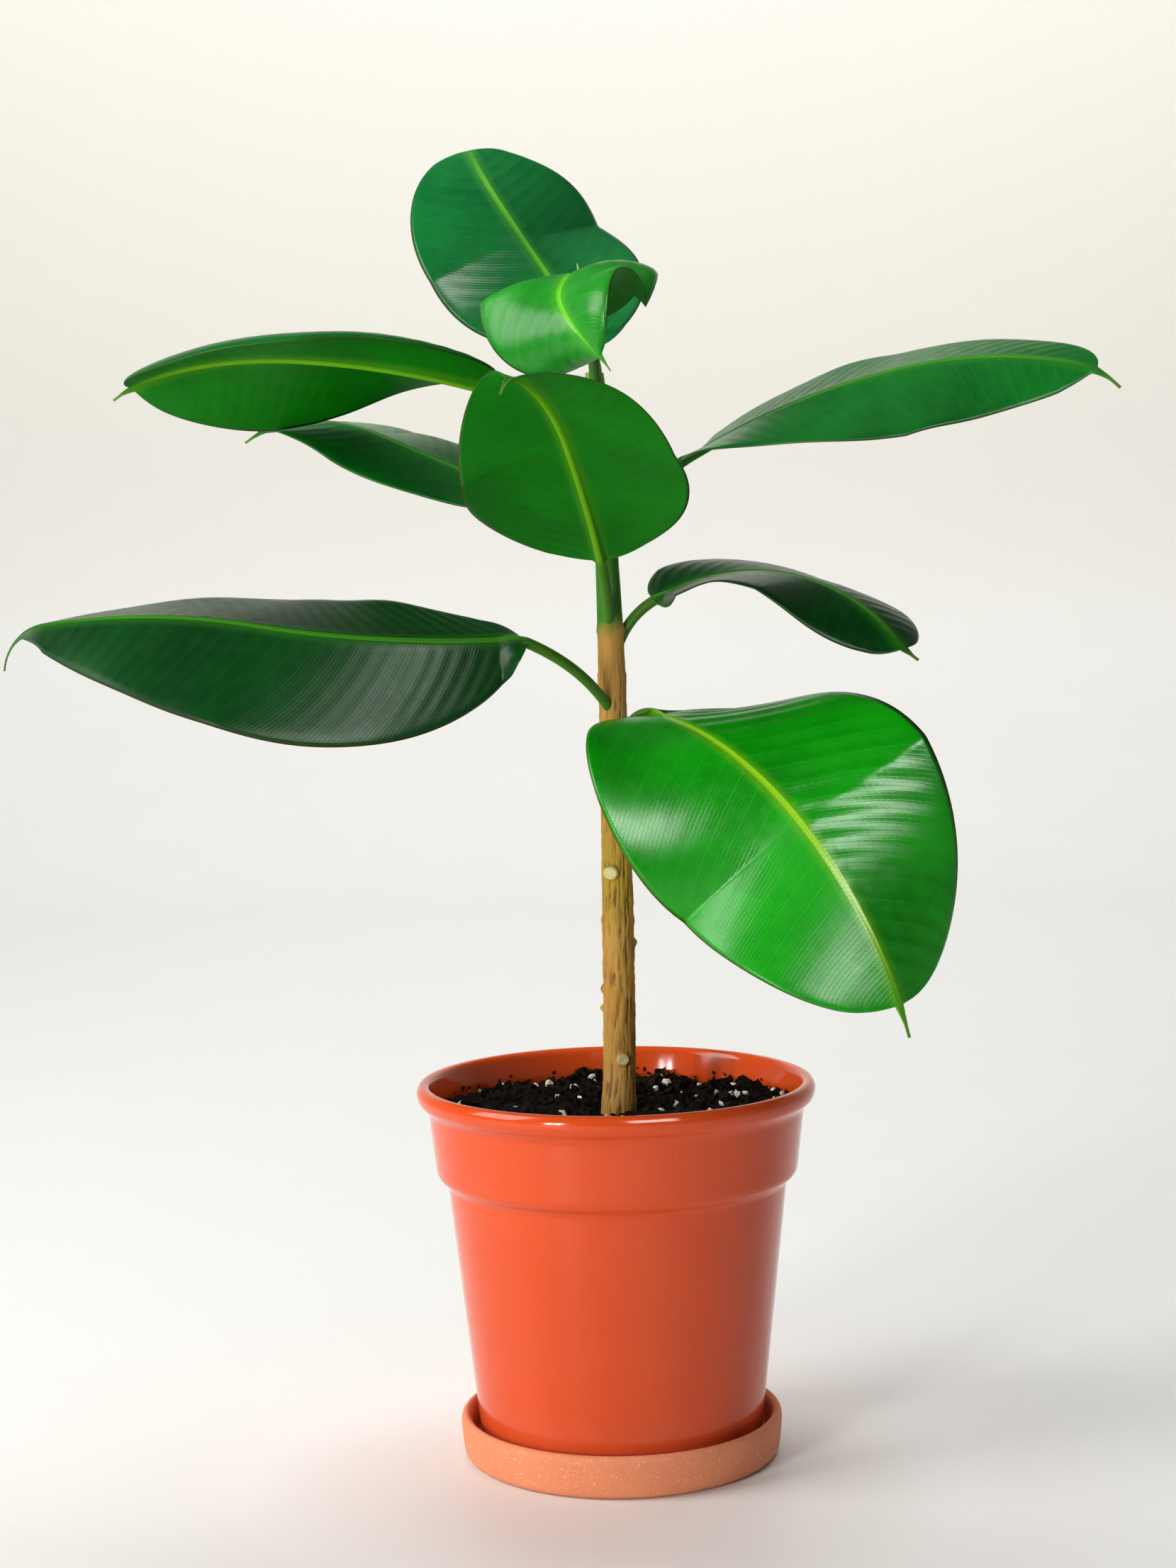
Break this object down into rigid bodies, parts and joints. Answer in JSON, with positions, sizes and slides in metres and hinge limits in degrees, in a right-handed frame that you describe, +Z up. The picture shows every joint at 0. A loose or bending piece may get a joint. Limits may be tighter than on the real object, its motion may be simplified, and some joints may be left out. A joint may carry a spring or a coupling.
{
  "type": "potted rubber plant",
  "caption": "Young rubber plant with broad glossy leaves on one upright stem, in a terracotta-coloured plastic nursery pot on a clay saucer.",
  "frame": {"origin": "centre of the saucer's flat underside, on the surface the plant stands on", "axes": "+Z up along the pot's axis, -Y toward the viewer, +X to the viewer's right"},
  "size_m": [0.4983, 0.2671, 0.6361],
  "materials": {
    "clay": "matt, unglazed, slightly dusty",
    "pot_plastic": "glossy moulded plastic",
    "peat": "matt, moist and crumbly",
    "bark": "matt bark, green and smooth higher up",
    "bud_green": "satin",
    "leaf_green": "glossy above, duller below",
    "leaf_young": "soft satin",
    "leaf_vivid": "glossy"
  },
  "bodies": {
    "root": {"saucer": "clay", "pot": "pot_plastic", "soil": "peat", "stem": "bark", "terminal_bud": "bud_green", "leaf_top_upright": "leaf_green", "leaf_young_arched": "leaf_young", "leaf_upper_left": "leaf_green", "leaf_middle_left": "leaf_green", "leaf_front_centre": "leaf_green", "leaf_upper_right": "leaf_green", "leaf_middle_right": "leaf_green", "leaf_lower_left": "leaf_green", "leaf_lower_right": "leaf_vivid"}
  },
  "joints": []
}
